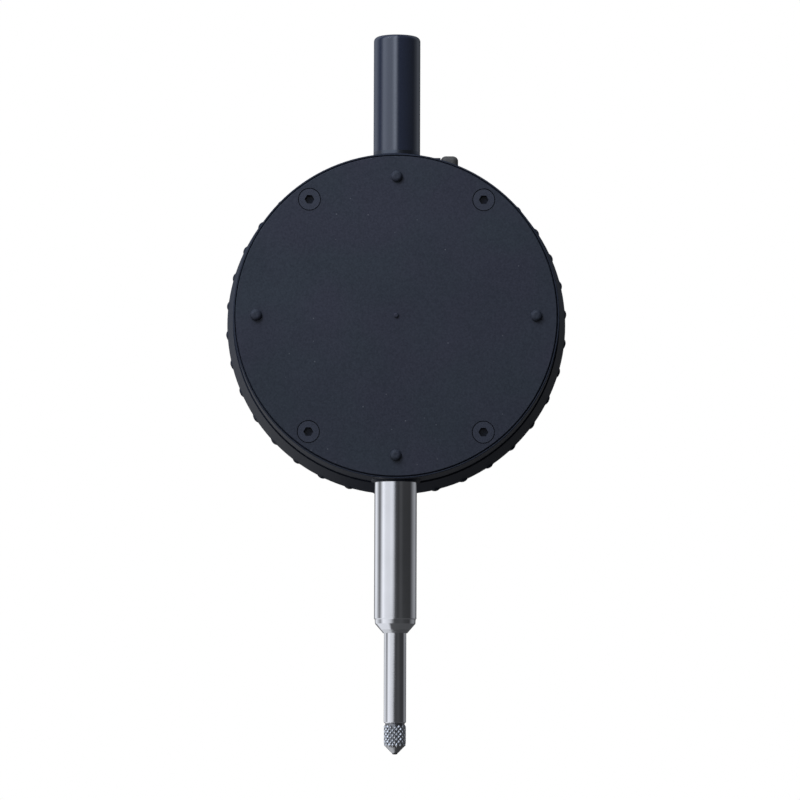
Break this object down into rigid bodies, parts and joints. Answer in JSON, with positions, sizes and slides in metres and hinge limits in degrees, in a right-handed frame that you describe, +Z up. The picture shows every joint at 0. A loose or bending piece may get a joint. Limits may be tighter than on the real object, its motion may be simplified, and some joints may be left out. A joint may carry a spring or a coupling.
{
  "type": "digital indicator",
  "caption": "Round digital indicator with a clamping stem, a sprung sliding spindle with a knurled contact point, a long dust cap and a display head that turns on the case.",
  "frame": {"origin": "on the stem's axis, halfway along its clamping length", "axes": "+Z up along the spindle, display towards -Y, plain back cover towards +Y"},
  "size_m": [0.0652, 0.0251, 0.1359],
  "materials": {
    "case_black": "fine matt",
    "cover_black": "fine matt, sandy grain",
    "bezel_black": "satin",
    "cap_black": "gloss",
    "face_black": "fine matt",
    "polished_steel": "polished",
    "point_steel": "knurled, bright",
    "carbide": "dark, ground",
    "screw_black": "black oxide",
    "bright_screw": "bright zinc",
    "bush_bronze": "turned",
    "bush_steel": "turned",
    "washer_black": "black oxide",
    "seal_rubber": "matt",
    "plug_grey": "matt, light grey",
    "insert_black": "moulded",
    "spring_steel": "drawn wire",
    "aluminium_block": "machined",
    "scale_board": "lacquered",
    "board_green": "solder mask",
    "window_clear": "clear, polished",
    "lcd_grey": "reflective display",
    "strip_rubber": "layered",
    "button_grey": "moulded",
    "cell_steel": "nickel",
    "contact_gold": "plated",
    "lid_black": "fine matt"
  },
  "bodies": {
    "case": {"case": "case_black", "back_cover": "cover_black", "back_cover_screws": "screw_black", "cover_seal": "seal_rubber", "friction_ring": "seal_rubber", "retaining_ring": "spring_steel", "stem": "polished_steel", "lower_bush": "bush_steel", "upper_bush": "bush_bronze", "cap_washer": "washer_black", "dust_cap": "cap_black", "stop_buffer": "seal_rubber", "guide_rail": "aluminium_block", "guide_rail_screws": "bright_screw", "reader_board": "board_green", "reader_board_screws": "bright_screw", "reader_chip": "insert_black", "return_spring": "spring_steel", "port_socket": "insert_black", "port_plug": "plug_grey"},
    "spindle": {"spindle": "polished_steel", "contact_point": "point_steel", "contact_tip": "carbide", "spindle_carrier": "aluminium_block", "carrier_screw": "bright_screw", "guide_pin": "spring_steel", "scale_strip": "scale_board"},
    "display_head": {"bezel": "bezel_black", "face_plate": "face_black", "lcd_window": "window_clear", "lcd_frame": "face_black", "lcd_panel": "lcd_grey", "connector_strips": "strip_rubber", "main_board": "board_green", "main_board_screws": "bright_screw", "display_chip": "insert_black", "switches": "insert_black", "battery_contact": "contact_gold", "battery": "cell_steel", "battery_holder": "insert_black"},
    "left_button": {"button_left": "button_grey"},
    "middle_button": {"button_middle": "button_grey"},
    "right_button": {"button_right": "button_grey"},
    "battery_lid": {"battery_lid": "lid_black", "lid_seal": "seal_rubber"}
  },
  "joints": [
    {"name": "spindle_slide", "type": "slide", "parent": "case", "child": "spindle", "axis": [0, 0, 1], "range_m": [0, 0.0127], "stiffness_N_per_m": 30, "springref_m": -0.03, "deforming": ["return_spring"]},
    {"name": "head_turn", "type": "hinge", "parent": "case", "child": "display_head", "pos_m": [0, 0, 0.04385], "axis": [0, -1, 0], "range_deg": [-135, 135]},
    {"name": "button_left_press", "type": "slide", "parent": "display_head", "child": "left_button", "axis": [0, 1, 0], "range_m": [0, 0.00035], "stiffness_N_per_m": 1500, "springref_m": -0.0003},
    {"name": "button_middle_press", "type": "slide", "parent": "display_head", "child": "middle_button", "axis": [0, 1, 0], "range_m": [0, 0.00035], "stiffness_N_per_m": 1500, "springref_m": -0.0003},
    {"name": "button_right_press", "type": "slide", "parent": "display_head", "child": "right_button", "axis": [0, 1, 0], "range_m": [0, 0.00035], "stiffness_N_per_m": 1500, "springref_m": -0.0003},
    {"name": "lid_turn", "type": "hinge", "parent": "display_head", "child": "battery_lid", "pos_m": [0, 0, 0.02625], "axis": [0, -1, 0], "range_deg": [0, 45]}
  ]
}
